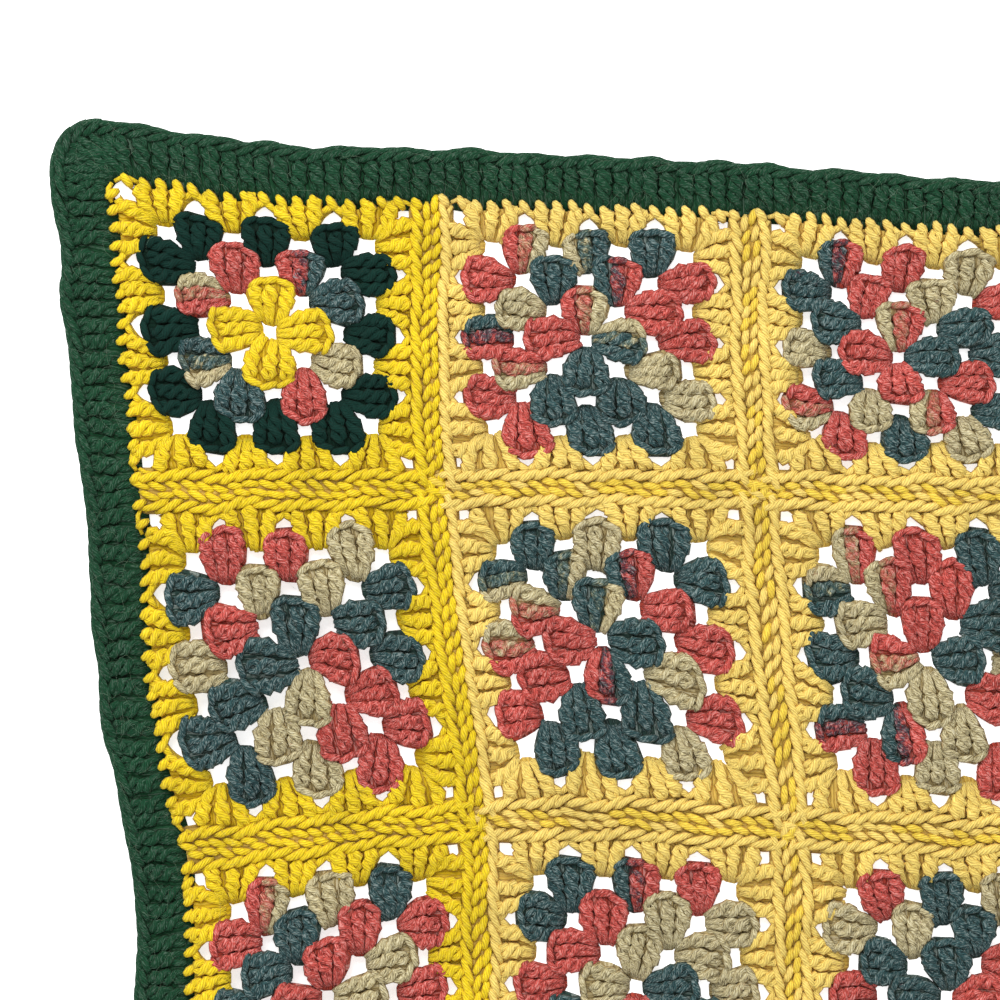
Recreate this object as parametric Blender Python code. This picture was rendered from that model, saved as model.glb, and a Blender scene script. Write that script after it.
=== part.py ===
"""Granny square blanket, laid flat.

Twenty-five crocheted squares, five across and five down, joined edge to edge and bound all
round by one border round with full, round corners. Each square is a lacy plate whose largest
gaps go right through. The squares came out uneven, so the seams wander and the blanket's top
left corner leans out.
The blanket lies on its underside with a few low swells and one trough near its left edge.

Metres, +Z up, +Y towards the blanket's top edge. The origin is under the middle of its box.
"Across" runs from the left edge to the right and "down" from the top edge to the bottom, both
on the even grid that the seams would follow if every square had come out alike.
"""

import math

import bmesh
import bpy

# Driving dimensions
COLUMNS = 5
ROWS = 5
SQUARE = 0.120              # seam to seam
ROUND_PITCH = 0.0122        # from one round of a square to the next
HOLE_WIDTH = 0.0060         # a gap between two clusters
MIDDLE_HOLE_WIDTH = 0.0068  # the ring that a square is begun on
HOLE_CORNER = 0.0015        # how far a gap's corners are cut back
CLOTH_THICKNESS = 0.0038    # at the gaps
EDGE_THICKNESS = 0.0046     # at the ridges along the seams and in the border
PIECE_GAP = 0.00034         # between neighbouring pieces
BORDER_BITE = 0.0037        # how far the border's stitches reach in over the squares
BORDER_REACH = 0.0165       # how far the border stands out past the even grid
OUTER_RADIUS = 0.024        # the border's round corners
INNER_RADIUS = 0.004        # the squares' corners under the border
SIDE_STEPS = 4              # straight pieces along one side of a square
CORNER_STEPS = 6            # straight pieces round one corner of the border

# How far each crossing of the seams lies from the even grid. Lines are counted from 0 at the
# top left; the lines after the last one listed follow it, less and less.
SEAM_SHIFTS = (
    # line_across, line_down, shift_right, shift_back
    (0, 0, -0.0086, 0.0130),
    (1, 0, -0.0045, 0.0010),
    (2, 0, -0.0070, -0.0065),
    (3, 0, -0.0098, -0.0155),
    (0, 1, 0.0005, 0.0110),
    (1, 1, -0.0045, 0.0100),
    (2, 1, -0.0055, 0.0075),
    (3, 1, -0.0113, 0.0035),
    (0, 2, 0.0165, -0.0025),
    (1, 2, 0.0085, 0.0070),
    (2, 2, 0.0038, 0.0020),
    (3, 2, -0.0035, -0.0033),
)
KNOWN_ACROSS = 3
KNOWN_DOWN = 2
FADE_ACROSS = 0.85          # of the shift that is left one line further across
FADE_DOWN = 0.90            # and one line further down

# Where the cloth is drawn aside between the crossings. Places and reaches are in squares.
PULLS = (
    # across, down, reach_across, reach_down, pull_right, pull_back
    (0.00, 1.62, 0.60, 0.55, -0.0055, 0.0000),
    (0.52, 0.00, 0.60, 0.45, 0.0000, -0.0040),
    (1.50, 0.50, 0.65, 0.65, -0.0030, 0.0000),
    (2.50, 0.50, 0.65, 0.65, -0.0040, -0.0020),
    (1.50, 1.55, 0.65, 0.65, -0.0050, 0.0050),
)

# Low swells where the cloth stands off the surface. Places and reaches are in squares.
SWELLS = (
    # across, down, reach_across, reach_down, height
    (0.40, 1.45, 0.95, 0.52, 0.0060),
    (0.30, 2.55, 0.90, 0.55, 0.0070),
    (2.20, 0.60, 0.80, 0.60, 0.0025),
    (3.70, 1.70, 0.90, 0.70, 0.0040),
    (1.50, 3.80, 0.80, 0.75, 0.0040),
    (4.20, 3.90, 0.70, 0.80, 0.0050),
)

# Yarn colours, as red, green and blue
GOLDEN_YELLOW = (0.75, 0.52, 0.04)
BUTTER_YELLOW = (0.72, 0.48, 0.10)
BOTTLE_GREEN = (0.013, 0.060, 0.038)
YARN_ROUGHNESS = 0.90

WIDTH = COLUMNS * SQUARE
LENGTH = ROWS * SQUARE
SECOND_ROUND_GAPS = ((0, -2), (2, 0), (0, 2), (-2, 0))
THIRD_ROUND_GAPS = ((-1, -3), (1, -3), (3, -1), (3, 1), (1, 3), (-1, 3), (-3, 1), (-3, -1))
SHIFTS = {(across, down): (right, back) for across, down, right, back in SEAM_SHIFTS}


def clear_scene():
    """Removes the objects that the file opened with."""
    for thing in list(bpy.data.objects):
        bpy.data.objects.remove(thing, do_unlink=True)


def crossing_shift(line_across, line_down):
    """How far the crossing of two seam lines lies from the even grid."""
    past_across = max(line_across - KNOWN_ACROSS, 0)
    past_down = max(line_down - KNOWN_DOWN, 0)
    right, back = SHIFTS[line_across - past_across, line_down - past_down]
    left_over = FADE_ACROSS ** past_across * FADE_DOWN ** past_down
    return right * left_over, back * left_over


def curve_through(values, place):
    """The value at a place along evenly spaced values, on a smooth curve through them."""
    start = min(max(math.floor(place), 0), len(values) - 2)
    here, there = values[start], values[start + 1]
    before = values[start - 1] if start else 2 * here - there
    after = values[start + 2] if start + 2 < len(values) else 2 * there - here
    part = place - start
    slope_here, slope_there = (there - before) / 2, (after - here) / 2
    rise = there - here
    bend = 3 * rise - 2 * slope_here - slope_there
    twist = slope_here + slope_there - 2 * rise
    return here + part * (slope_here + part * (bend + part * twist))


def hump(across, down, mid_across, mid_down, reach_across, reach_down):
    """A smooth share that is 1 at the middle and 0 from the reach outwards."""
    away = math.hypot((across / SQUARE - mid_across) / reach_across,
                      (down / SQUARE - mid_down) / reach_down)
    return max(1 - away * away, 0) ** 2


def even_to_laid(across, down):
    """Where a point of the even grid lies once the uneven squares are joined."""
    shift = []
    for side in (0, 1):
        along_lines = []
        for line_across in range(COLUMNS + 1):
            column = [crossing_shift(line_across, line)[side] for line in range(ROWS + 1)]
            along_lines.append(curve_through(column, down / SQUARE))
        shift.append(curve_through(along_lines, across / SQUARE))
    for mid_across, mid_down, reach_across, reach_down, *pull in PULLS:
        share = hump(across, down, mid_across, mid_down, reach_across, reach_down)
        shift = [old + share * new for old, new in zip(shift, pull)]
    return across - WIDTH / 2 + shift[0], LENGTH / 2 - down + shift[1]


def swell_height(across, down):
    """How far the underside stands off the surface at a point of the even grid."""
    return sum(top * hump(across, down, *middle_and_reach) for *middle_and_reach, top in SWELLS)


def straight(start, end, steps):
    """Points from start up to, and without, end."""
    return [tuple(a + (b - a) * step / steps for a, b in zip(start, end)) for step in range(steps)]


def square_outline(column, row):
    """The outer edge of one square on the even grid, inside its seams or its border."""
    half_gap = PIECE_GAP / 2
    left = column * SQUARE + (half_gap if column else BORDER_BITE)
    right = (column + 1) * SQUARE - (half_gap if column < COLUMNS - 1 else BORDER_BITE)
    top = row * SQUARE + (half_gap if row else BORDER_BITE)
    bottom = (row + 1) * SQUARE - (half_gap if row < ROWS - 1 else BORDER_BITE)
    corners = [(left, top), (right, top), (right, bottom), (left, bottom)]
    points = []
    for number, corner in enumerate(corners):
        side = straight(corner, corners[(number + 1) % 4], SIDE_STEPS)
        outward_across = column == (0, COLUMNS - 1)[number in (1, 2)]
        outward_down = row == (0, ROWS - 1)[number in (2, 3)]
        if outward_across and outward_down:
            before = corners[number - 1]
            side[0:1] = [cut_towards(corner, before), cut_towards(corner, corners[(number + 1) % 4])]
        points += side
    return points


def cut_towards(corner, neighbour):
    """The point where a blanket corner's cut starts on the side that runs to neighbour."""
    length = math.dist(corner, neighbour)
    return tuple(a + (b - a) * INNER_RADIUS / length for a, b in zip(corner, neighbour))


def hole_outline(mid_across, mid_down, width):
    """One gap between clusters: a small square with its corners cut back."""
    half = width / 2
    inner = half - HOLE_CORNER
    points = []
    for sign_a, sign_d in ((-1, -1), (1, -1), (1, 1), (-1, 1)):
        upright_first = sign_a == sign_d
        first = (sign_a * half, sign_d * inner)
        second = (sign_a * inner, sign_d * half)
        points += [first, second] if upright_first else [second, first]
    return [(mid_across + a, mid_down + d) for a, d in points]


def hole_outlines(column, row):
    """The gaps of one square that are cut through. One gap of the third round has closed up."""
    mid_across, mid_down = (column + 0.5) * SQUARE, (row + 0.5) * SQUARE
    closed = (3 * column + 5 * row + 6) % len(THIRD_ROUND_GAPS)
    third_round = THIRD_ROUND_GAPS[:closed] + THIRD_ROUND_GAPS[closed + 1:]
    outlines = [hole_outline(mid_across, mid_down, MIDDLE_HOLE_WIDTH)]
    for right, down in SECOND_ROUND_GAPS + third_round:
        outlines.append(hole_outline(mid_across + right * ROUND_PITCH,
                                     mid_down + down * ROUND_PITCH, HOLE_WIDTH))
    return outlines


def border_outer():
    """The border's outer edge on the even grid, with round corners."""
    low = -BORDER_REACH
    turns = (
        (low + OUTER_RADIUS, low + OUTER_RADIUS, 180),
        (WIDTH - low - OUTER_RADIUS, low + OUTER_RADIUS, 270),
        (WIDTH - low - OUTER_RADIUS, LENGTH - low - OUTER_RADIUS, 0),
        (low + OUTER_RADIUS, LENGTH - low - OUTER_RADIUS, 90),
    )
    squares_on_side = (COLUMNS, ROWS, COLUMNS, ROWS)
    corner_ends = []
    for mid_across, mid_down, start in turns:
        angles = [math.radians(start + 90 * step / CORNER_STEPS) for step in range(CORNER_STEPS + 1)]
        corner_ends.append([(mid_across + OUTER_RADIUS * math.cos(a),
                             mid_down + OUTER_RADIUS * math.sin(a)) for a in angles])
    points = []
    for number, arc in enumerate(corner_ends):
        next_arc = corner_ends[(number + 1) % 4]
        points += arc + straight(arc[-1], next_arc[0], squares_on_side[number] * SIDE_STEPS)[1:]
    return points


def border_inner():
    """The border's inner edge, one gap outside the squares' own edges."""
    inset = BORDER_BITE - PIECE_GAP
    corners = [(inset, inset), (WIDTH - inset, inset),
               (WIDTH - inset, LENGTH - inset), (inset, LENGTH - inset)]
    points = []
    for number, corner in enumerate(corners):
        following = corners[(number + 1) % 4]
        steps = (COLUMNS, ROWS)[number % 2] * SIDE_STEPS
        side = straight(corner, following, steps)
        points += [cut_towards(corner, corners[number - 1]), cut_towards(corner, following)]
        points += side[1:]
    return points


def yarn_material(name, colour):
    """A plain matt yarn colour."""
    material = bpy.data.materials.new(name)
    material.use_nodes = True
    shader = material.node_tree.nodes["Principled BSDF"]
    shader.inputs["Base Color"].default_value = (*colour, 1)
    shader.inputs["Roughness"].default_value = YARN_ROUGHNESS
    shader.inputs["Metallic"].default_value = 0
    material.diffuse_color = (*colour, 1)
    return material


def cloth_plate(name, outline, holes, colour):
    """One closed plate of cloth: filled between its outline and its holes, thickened, and laid."""
    mesh = bmesh.new()
    edges = []
    rim = set()
    for loop in (outline, *holes):
        corners = [mesh.verts.new((across, down, 0)) for across, down in loop]
        edges += [mesh.edges.new(pair) for pair in zip(corners, corners[1:] + corners[:1])]
        if loop is outline:
            rim = {corner.co.to_tuple(6) for corner in corners}
    bmesh.ops.triangle_fill(mesh, edges=edges, use_beauty=True)
    underside = set(mesh.verts)
    bmesh.ops.extrude_face_region(mesh, geom=mesh.faces[:], use_keep_orig=True)
    for vertex in mesh.verts:
        across, down, _ = vertex.co
        on_rim = vertex.co.to_tuple(6) in rim
        x, y = even_to_laid(across, down)
        z = swell_height(across, down)
        if vertex not in underside:
            z += EDGE_THICKNESS if on_rim or name == "border" else CLOTH_THICKNESS
        vertex.co = (x, y, z)
    bmesh.ops.recalc_face_normals(mesh, faces=mesh.faces[:])
    data = bpy.data.meshes.new(name)
    mesh.to_mesh(data)
    mesh.free()
    data.materials.append(yarn_material(name + "_yarn", colour))
    thing = bpy.data.objects.new(name, data)
    bpy.context.scene.collection.objects.link(thing)
    return thing


def centre_on_origin(things):
    """Moves every mesh so that the origin is under the middle of the whole blanket's box."""
    points = [vertex.co for thing in things for vertex in thing.data.vertices]
    middle = [(min(p[axis] for p in points) + max(p[axis] for p in points)) / 2 for axis in (0, 1)]
    for thing in things:
        for vertex in thing.data.vertices:
            vertex.co.x -= middle[0]
            vertex.co.y -= middle[1]


def build_blanket():
    """Makes every square and the border."""
    clear_scene()
    things = []
    for row in range(ROWS):
        for column in range(COLUMNS):
            name = f"square_c{column + 1}_r{row + 1}"
            colour = GOLDEN_YELLOW if column == 0 else BUTTER_YELLOW
            things.append(cloth_plate(name, square_outline(column, row),
                                      hole_outlines(column, row), colour))
    things.append(cloth_plate("border", border_outer(), [border_inner()], BOTTLE_GREEN))
    centre_on_origin(things)
    return things


build_blanket()
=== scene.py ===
"""Granny square blanket: the yarn of every stitch, the joins, the border round and the stage.

The blanket is worked on an even grid and then laid as the solids lie. Grid places are in metres:
x runs across from the left edge of the squares, and y runs up from their top edge, so that y is
below 0 on every square. The border lies outside them. Each square has a lattice of its own, one
step for each round, with clusters of three stitches and gaps in turn. A side of a square has an
outward direction and, clockwise from it, a forward one.
"""

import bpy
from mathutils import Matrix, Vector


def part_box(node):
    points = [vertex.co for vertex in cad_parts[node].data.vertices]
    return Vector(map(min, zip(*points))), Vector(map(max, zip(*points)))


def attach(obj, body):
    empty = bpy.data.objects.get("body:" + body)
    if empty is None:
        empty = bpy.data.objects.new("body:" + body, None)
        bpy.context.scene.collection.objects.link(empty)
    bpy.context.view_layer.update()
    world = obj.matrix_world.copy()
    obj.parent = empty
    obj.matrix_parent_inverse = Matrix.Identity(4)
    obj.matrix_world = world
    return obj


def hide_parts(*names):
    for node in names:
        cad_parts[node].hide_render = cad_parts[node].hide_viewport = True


bl_info = {
    "name": "Granny Square Blanket",
    "version": (1, 0, 0),
    "blender": (4, 5, 0),
    "location": "View3D > Sidebar > Crochet",
    "description": "Makes a crocheted blanket of joined granny squares with a border round",
    "category": "Add Mesh",
}

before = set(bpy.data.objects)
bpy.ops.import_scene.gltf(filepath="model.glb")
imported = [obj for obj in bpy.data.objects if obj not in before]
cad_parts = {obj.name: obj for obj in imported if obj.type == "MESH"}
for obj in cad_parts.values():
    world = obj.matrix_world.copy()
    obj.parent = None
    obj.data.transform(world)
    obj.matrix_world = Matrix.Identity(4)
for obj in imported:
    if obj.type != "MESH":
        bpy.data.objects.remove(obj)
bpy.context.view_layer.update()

import math

import bpy
import numpy as np

MM = 0.001

# The blanket's driving dimensions, as its solids have them
COLUMNS = 5
ROWS = 5
SQUARE = 120 * MM
ROUND_PITCH = 12.2 * MM
BORDER_REACH = 16.5 * MM
OUTER_RADIUS = 24 * MM
WIDTH = COLUMNS * SQUARE    # of the squares together
DEPTH = ROWS * SQUARE

# How far the seam crossings lie from the even grid, in metres
SEAM_SHIFTS = (
    # line_across, line_down, shift_right, shift_back
    (0, 0, -0.0086, 0.0130),
    (1, 0, -0.0045, 0.0010),
    (2, 0, -0.0070, -0.0065),
    (3, 0, -0.0098, -0.0155),
    (0, 1, 0.0005, 0.0110),
    (1, 1, -0.0045, 0.0100),
    (2, 1, -0.0055, 0.0075),
    (3, 1, -0.0113, 0.0035),
    (0, 2, 0.0165, -0.0025),
    (1, 2, 0.0085, 0.0070),
    (2, 2, 0.0038, 0.0020),
    (3, 2, -0.0035, -0.0033),
)
# The last lines with a shift of their own, and the share of it that each line past them keeps
KNOWN_ACROSS = 3
KNOWN_DOWN = 2
FADE_ACROSS = 0.85
FADE_DOWN = 0.90

# Where the cloth is pulled aside, and where it swells up: places and reaches in squares, and
# pulls and heights in metres
PULLS = (
    # across, down, reach_across, reach_down, pull_right, pull_back
    (0.00, 1.62, 0.60, 0.55, -0.0055, 0.0000),
    (0.52, 0.00, 0.60, 0.45, 0.0000, -0.0040),
    (1.50, 0.50, 0.65, 0.65, -0.0030, 0.0000),
    (2.50, 0.50, 0.65, 0.65, -0.0040, -0.0020),
    (1.50, 1.55, 0.65, 0.65, -0.0050, 0.0050),
)
SWELLS = (
    # across, down, reach_across, reach_down, height
    (0.40, 1.45, 0.95, 0.52, 0.0060),
    (0.30, 2.55, 0.90, 0.55, 0.0070),
    (2.20, 0.60, 0.80, 0.60, 0.0025),
    (3.70, 1.70, 0.90, 0.70, 0.0040),
    (1.50, 3.80, 0.80, 0.75, 0.0040),
    (4.20, 3.90, 0.70, 0.80, 0.0050),
)

# The colours of the middle rounds' clusters, clockwise from the first one of the top side:
# C coral, S sage, T teal, Y the square's own yellow, N night green. Where there are two letters,
# the yarn changes from one to the other along the cluster.
CLUSTER_CHART = (
    # column, row, first_round, second_round, third_round
    (0, 0, "Y Y Y Y", "C CT T S C T ST CS", "N N N N N N N N N N N N"),
    (1, 0, "CS ST T C", "T TC C S T T SC S", "CS ST T C C S T T C C CT C"),
    (2, 0, "SC T C C", "C S T C CS S T T", "TC C S C T T S T C SC S T"),
    (0, 1, "T C S T", "S S T C C S T C", "C C S T T C C S T T S T"),
    (1, 1, "TS T TC C", "TS TC C S T T C CS", "T S T T C C S T T C CS ST"),
    (2, 1, "C T S SC", "SC C T C S CT T S", "SC C T T S S C S C CT T TS"),
    (0, 2, "C S T C", "T C S S T C C T", "CS S T C C T S S C T T C"),
    (1, 2, "S T C S", "C S S T C T T C", "T TC C S S T C C T S C T"),
    (2, 2, "T C S T", "S T C C T S C T", "C T S S C T T C S C C S"),
)
DYE_PLACES = {"T": 0.0, "S": 1 / 3, "C": 2 / 3}
LAST_ROUND = 4    # the yellow one, outside the middle rounds

# Squares that the chart leaves out run on at random in the dyed yarn's colours
RUN_SEED = 77
LONGEST_RUN = 3          # clusters of one colour after each other
SKIPPED_COLOUR = 0.3     # the chance that the run leaves a colour out
ROUND_SPANS = ((0, 4), (4, 12), (12, 24))    # each middle round's clusters in the run

# Sides of a square: the outward direction. The forward direction is a quarter turn clockwise.
SIDES = ((0, 1), (1, 0), (0, -1), (-1, 0))
# The blanket's corners, clockwise: whether each lies right or left, and up or down
CORNERS = ((-1, 1), (1, 1), (1, -1), (-1, -1))

rng = np.random.default_rng(1963)


# ---------------------------------------------------------------- sizes and colours

class CrochetYarn(bpy.types.PropertyGroup):
    """The yarn itself."""

    plies: bpy.props.IntProperty(
        name="Ply Lines", description="Grooves round one strand", default=8, min=1)
    lead: bpy.props.FloatProperty(
        name="Lead", description="Length along the strand from one groove to the next",
        default=1.75 * MM, min=0, unit="LENGTH")
    golden: bpy.props.FloatVectorProperty(
        name="Golden", description="Last rounds of the first column", subtype="COLOR",
        default=(0.80, 0.600, 0.014))
    butter: bpy.props.FloatVectorProperty(
        name="Butter", description="Last rounds of the other columns", subtype="COLOR",
        default=(0.84, 0.635, 0.155))
    honey: bpy.props.FloatVectorProperty(
        name="Honey", description="Part of the joins past the first column", subtype="COLOR",
        default=(0.82, 0.60, 0.065))
    night_green: bpy.props.FloatVectorProperty(
        name="Night Green", description="The corner square's third round", subtype="COLOR",
        default=(0.002, 0.026, 0.019))
    bottle_green: bpy.props.FloatVectorProperty(
        name="Bottle Green", description="The border round", subtype="COLOR",
        default=(0.0075, 0.056, 0.024))
    coral: bpy.props.FloatVectorProperty(
        name="Coral", description="Third colour of the dyed yarn's run", subtype="COLOR",
        default=(0.55, 0.080, 0.064))
    sage: bpy.props.FloatVectorProperty(
        name="Sage", description="Second colour of the dyed yarn's run", subtype="COLOR",
        default=(0.50, 0.435, 0.235))
    teal: bpy.props.FloatVectorProperty(
        name="Teal", description="First colour of the dyed yarn's run", subtype="COLOR",
        default=(0.029, 0.078, 0.082))
    loose_fibre: bpy.props.FloatVectorProperty(
        name="Loose Fibre", description="Single fibres that catch the light", subtype="COLOR",
        default=(0.17, 0.27, 0.21))


class CrochetStitches(bpy.types.PropertyGroup):
    """How the stitches are worked."""

    fatness: bpy.props.FloatProperty(
        name="Fatness", description="How thick the yarn is, as a share of its usual thickness",
        default=1.0, min=0.2, max=2)
    post_turns: bpy.props.FloatProperty(
        name="Post Turns", description="How often a post's two strands wind round each other",
        default=1.35, min=0)
    unevenness: bpy.props.FloatProperty(
        name="Unevenness", description="How far the hand's tension draws the stitches aside",
        default=0.45 * MM, min=0, unit="LENGTH")
    border_fibres: bpy.props.IntProperty(
        name="Border Fibres", description="Loose fibres that stand off the border",
        default=1000, min=0)
    square_fibres: bpy.props.IntProperty(
        name="Square Fibres", description="Loose fibres that stand off the squares",
        default=260, min=0)


class CrochetStage(bpy.types.PropertyGroup):
    """Floor, lights and camera."""

    camera_place: bpy.props.FloatVectorProperty(
        name="Camera Place", description="Where the camera hangs over the blanket",
        subtype="TRANSLATION", default=(-0.1558, 0.1801, 1.2))
    field: bpy.props.FloatProperty(
        name="Field", description="Width of the picture at the blanket",
        default=0.370, min=0, unit="LENGTH")
    roll: bpy.props.FloatProperty(
        name="Roll", description="Turn of the camera about its own line of sight",
        default=math.radians(-1), subtype="ANGLE")
    floor_colour: bpy.props.FloatVectorProperty(
        name="Floor Colour", description="The pale floor", subtype="COLOR",
        default=(0.90, 0.90, 0.90))
    sky: bpy.props.FloatProperty(
        name="Sky", description="Strength of the even light from all round", default=0.92, min=0)
    key: bpy.props.FloatProperty(
        name="Key", description="Power of the soft light beyond the top edge", default=19,
        min=0, unit="POWER")


# ---------------------------------------------------------------- laying the even grid out

def crossing_shifts():
    """How far each seam crossing lies from the even grid, with one more line past every edge."""
    known = {(across, down): (right, back) for across, down, right, back in SEAM_SHIFTS}
    table = np.empty((COLUMNS + 3, ROWS + 3, 2))
    for across in range(COLUMNS + 1):
        for down in range(ROWS + 1):
            past_across = max(across - KNOWN_ACROSS, 0)
            past_down = max(down - KNOWN_DOWN, 0)
            left_over = FADE_ACROSS ** past_across * FADE_DOWN ** past_down
            shift = known[across - past_across, down - past_down]
            table[across + 1, down + 1] = np.multiply(shift, left_over)
    table[0], table[-1] = 2 * table[1] - table[2], 2 * table[-2] - table[-3]
    table[:, 0] = 2 * table[:, 1] - table[:, 2]
    table[:, -1] = 2 * table[:, -2] - table[:, -3]
    return table


def curve_weights(place, lines):
    """The first of four lines round each place, and what each counts for on a smooth curve."""
    start = np.clip(np.floor(place), 0, lines - 1).astype(int)
    t = place - start
    weights = ((-t + 2 * t**2 - t**3) / 2, 1 + (3 * t**3 - 5 * t**2) / 2,
               (t + 4 * t**2 - 3 * t**3) / 2, (t**3 - t**2) / 2)
    return start, weights


def hump(across, down, mid_across, mid_down, reach_across, reach_down):
    """A smooth share that is 1 at the middle and 0 from the reach outwards."""
    away = (((across / SQUARE - mid_across) / reach_across) ** 2
            + ((down / SQUARE - mid_down) / reach_down) ** 2)
    return np.clip(1 - away, 0, None) ** 2


CROSSING_SHIFTS = crossing_shifts()


def laid(points):
    """Where points of the grid lie on the blanket, before it is centred."""
    across, down = points[..., 0], -points[..., 1]
    first_across, weights_across = curve_weights(across / SQUARE, COLUMNS)
    first_down, weights_down = curve_weights(down / SQUARE, ROWS)
    shift = 0
    for a, weight_across in enumerate(weights_across):
        for d, weight_down in enumerate(weights_down):
            known = CROSSING_SHIFTS[first_across + a, first_down + d]
            shift = shift + known * (weight_across * weight_down)[..., None]
    for *place, right, back in PULLS:
        shift = shift + hump(across, down, *place)[..., None] * np.array((right, back))
    height = points[..., 2]
    for *place, top in SWELLS:
        height = height + top * hump(across, down, *place)
    x = across - WIDTH / 2 + shift[..., 0]
    y = DEPTH / 2 - down + shift[..., 1]
    return np.stack([x, y, height], -1)


def corner_arcs(reach, radius, shares):
    """The corners of a line round the squares: each arc's middle, and the ways out at shares of it.

    reach is how far outside the squares the line lies."""
    arcs = []
    for number, (right, up) in enumerate(CORNERS):
        middle = np.array((WIDTH / 2 * (1 + right) + right * (reach - radius),
                           DEPTH / 2 * (up - 1) + up * (reach - radius)))
        angles = np.radians(180 - 90 * number - 90 * shares)
        arcs.append((middle, np.column_stack([np.cos(angles), np.sin(angles)])))
    return arcs


CORNER_POINTS = 24    # on each corner of the solids' outline


def centring():
    """From where the grid is laid to where the solids lie."""
    arcs = corner_arcs(BORDER_REACH, OUTER_RADIUS, np.linspace(0, 1, CORNER_POINTS))
    outline = np.concatenate([middle + OUTER_RADIUS * ways for middle, ways in arcs])
    outline = laid(np.column_stack([outline, np.zeros(len(outline))]))
    low, high = (np.array(corner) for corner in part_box("border"))
    middle = (outline.min(0) + outline.max(0)) / 2 - (low + high) / 2
    return np.array((middle[0], middle[1], 0.0))


CENTRING = centring()

# The waves in a hand's tension, which draw the stitches aside
WAVE_COUNT = 10
WAVE_RIPPLES = (22, 60)    # for each metre, the fewest and the most
WAVE_SHARE = 0.55          # of the unevenness, in one wave
WAVES = [
    # heading, ripples for each metre, start, share of the unevenness across and up
    (rng.uniform(0, math.pi), rng.uniform(*WAVE_RIPPLES), rng.uniform(0, math.tau),
     rng.normal(0, 1, 2))
    for _ in range(WAVE_COUNT)
]


def lay(points):
    """Draws grid points a little aside, as a hand's uneven tension does, and lays them out."""
    uneven = bpy.context.scene.crochet_stitches.unevenness
    moved = points.copy()
    for heading, ripples, start, share in WAVES:
        along = points[..., 0] * math.cos(heading) + points[..., 1] * math.sin(heading)
        wave = np.sin(math.tau * ripples * along + start)
        moved[..., :2] += uneven * WAVE_SHARE * wave[..., None] * share
    return laid(moved) - CENTRING


# ---------------------------------------------------------------- meshes

# Angles of a strand's points round it, from its top. One that lies on the cloth has none below
TOP_SECTION = np.radians((-105, -38, 38, 105))
ROUND_SECTION = np.radians((0, 60, 120, 180, 240, 300))
FIBRE_SECTION = np.radians((0, 120, 240))
FLATNESS = 0.85    # a strand's height as a share of its width


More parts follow.
